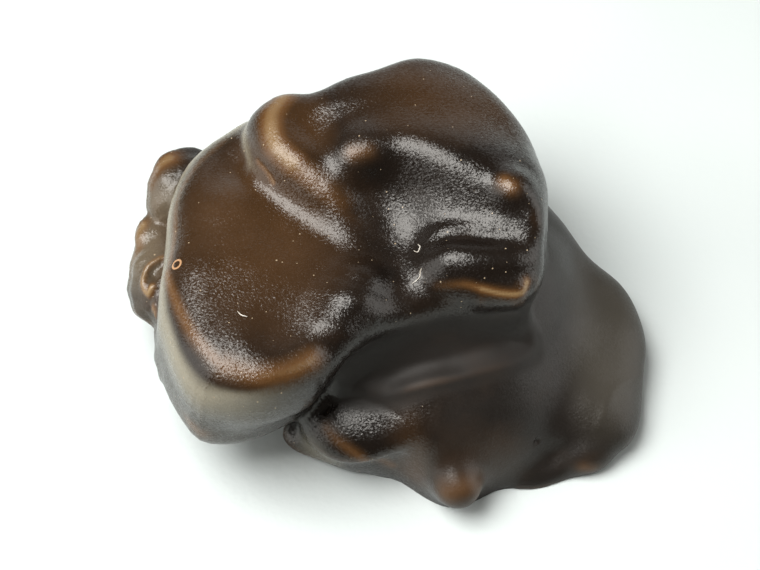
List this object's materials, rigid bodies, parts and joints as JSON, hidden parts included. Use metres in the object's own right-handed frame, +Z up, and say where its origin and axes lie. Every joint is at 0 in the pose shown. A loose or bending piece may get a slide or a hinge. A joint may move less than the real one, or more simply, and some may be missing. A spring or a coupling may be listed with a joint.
{
  "type": "dark chocolate praline",
  "caption": "Lumpy bite-size praline: a cluster of nut and crisp lumps under one satin dark chocolate coat, a slab and a mass leaning over a lower skirt, flat foot.",
  "frame": {"origin": "on the table under the middle of the praline's box, level with its flat foot", "axes": "+Z up, -Y towards the front that the praline is seen from, +X to the right of that front, along its longest side"},
  "size_m": [0.0372, 0.0298, 0.0173],
  "materials": {
    "dark_chocolate": "satin dark chocolate, paler and tan where the coat is thin"
  },
  "bodies": {
    "root": {"praline": "dark_chocolate"}
  },
  "joints": []
}
